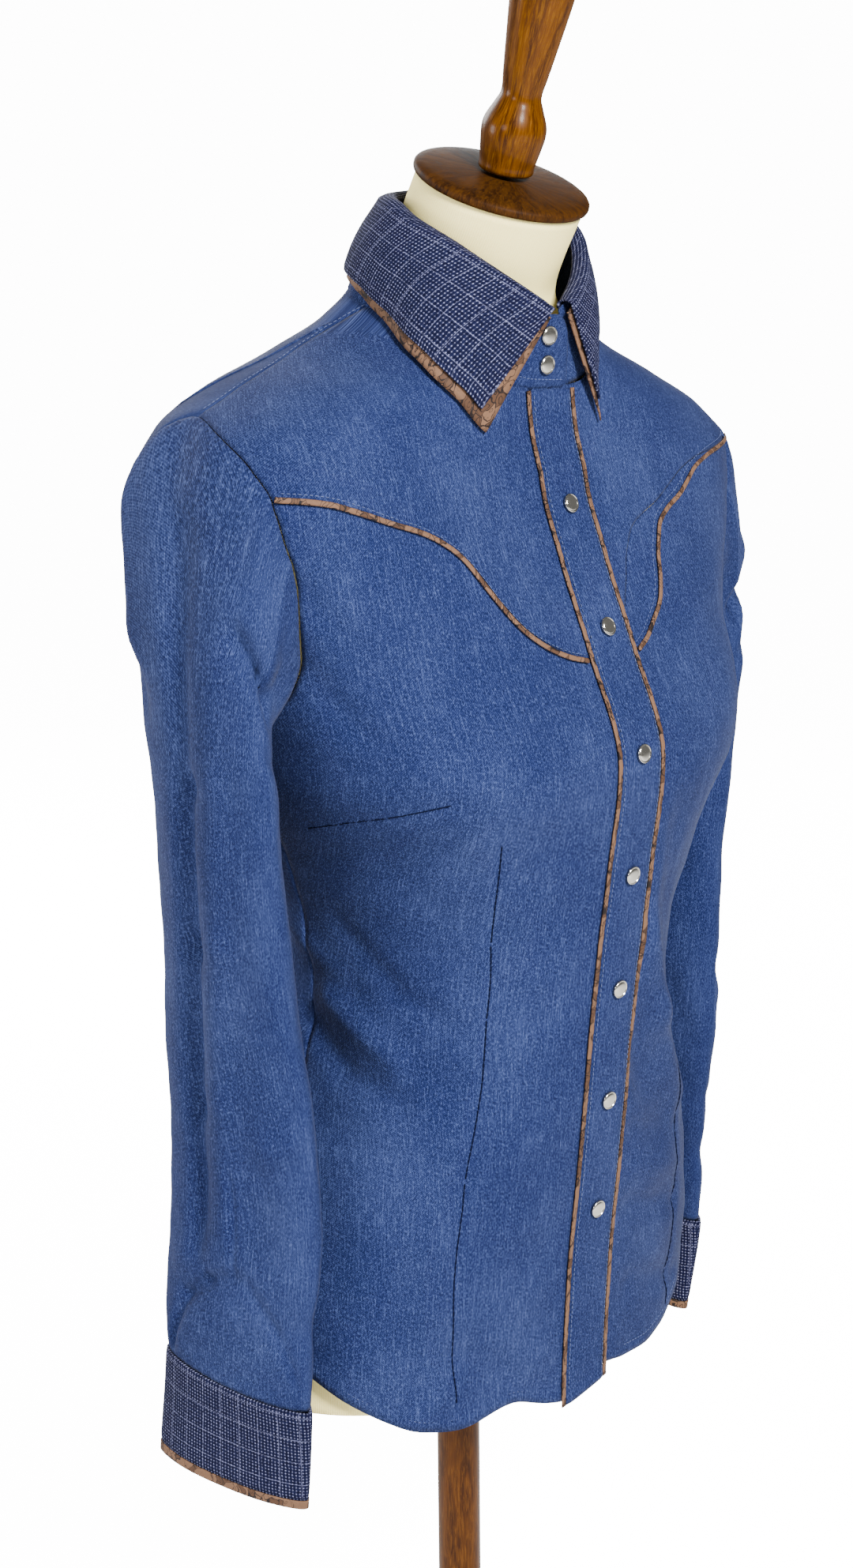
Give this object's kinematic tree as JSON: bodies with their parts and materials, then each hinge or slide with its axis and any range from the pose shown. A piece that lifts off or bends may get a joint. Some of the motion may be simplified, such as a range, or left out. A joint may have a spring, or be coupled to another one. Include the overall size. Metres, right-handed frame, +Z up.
{
  "type": "western snap shirt on a limbless dress form with its stand",
  "caption": "Long-sleeved western shirt in denim with tweed collar and cuffs, paisley piping and snap closure, worn on a limbless dress form that stands on a pole and round base.",
  "frame": {"origin": "centre of the base's underside, on the floor that the stand rests on", "axes": "+Z up; -Y towards the front of the shirt; +X towards the wearer's left"},
  "size_m": [0.4416, 0.2775, 1.0749],
  "materials": {
    "denim": "stretch denim, medium blue twill with pale slubs",
    "tweed": "navy and white basket-weave tweed with thin pale lines",
    "paisley": "tan cotton printed with small dark ornament",
    "nickel": "polished nickel plate",
    "jersey": "cream ribbed jersey over a hard shell",
    "cap_wood": "dark reddish brown gloss varnish, worn at the rim",
    "finial_wood": "amber brown varnish, grain visible",
    "stand_wood": "brown satin varnish"
  },
  "bodies": {
    "root": {"back": "denim", "back_yoke": "denim", "base": "stand_wood", "collar_stand": "denim", "collar_top": "tweed", "collar_under": "paisley", "finial": "finial_wood", "form_torso": "jersey", "left_cuff": "tweed", "left_cuff_piping": "paisley", "left_front": "denim", "left_front_yoke": "denim", "left_placket_piping": "paisley", "left_sleeve": "denim", "left_yoke_piping": "paisley", "neck_cap": "cap_wood", "placket": "denim", "pole": "stand_wood", "right_cuff": "tweed", "right_cuff_piping": "paisley", "right_front": "denim", "right_front_yoke": "denim", "right_placket_piping": "paisley", "right_sleeve": "denim", "right_yoke_piping": "paisley", "snap_1": "nickel", "snap_2": "nickel", "snap_3": "nickel", "snap_4": "nickel", "snap_5": "nickel", "snap_6": "nickel", "snap_7": "nickel", "stand_snap_1": "nickel", "stand_snap_2": "nickel"}
  },
  "joints": []
}
